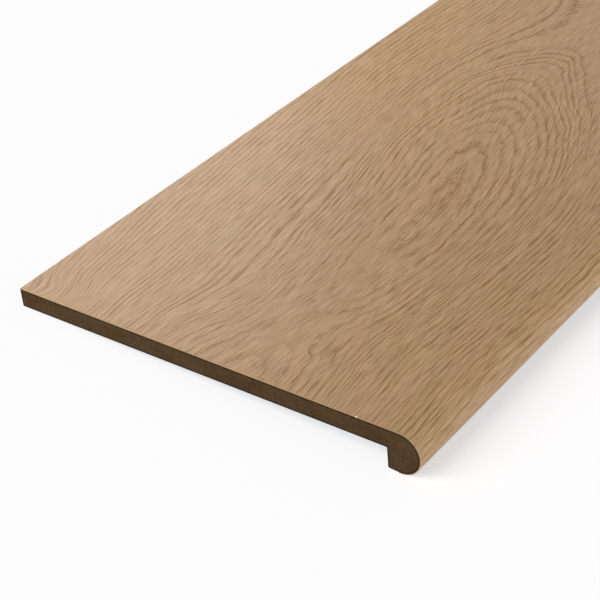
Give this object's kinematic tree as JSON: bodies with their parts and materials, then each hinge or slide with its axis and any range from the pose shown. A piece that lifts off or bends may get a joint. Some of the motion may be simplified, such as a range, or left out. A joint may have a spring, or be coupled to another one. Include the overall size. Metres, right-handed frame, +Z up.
{
  "type": "stair tread",
  "caption": "Stair tread that caps an old step: a flat board with a round nose and a downward lip, faced on its top and nose with thin oak.",
  "frame": {"origin": "on the floor that the tread lies on, in the middle of its outline", "axes": "+X along the tread, +Y from the nose to the back edge, +Z up; the tread rests on its nose and the lower edge of its back, so its top slopes about 3 degrees down to the back"},
  "size_m": [1, 0.3004, 0.0285],
  "materials": {
    "fibreboard": "matt",
    "oak": "satin"
  },
  "bodies": {
    "root": {"tread_core": "fibreboard", "oak_facing": "oak"}
  },
  "joints": []
}
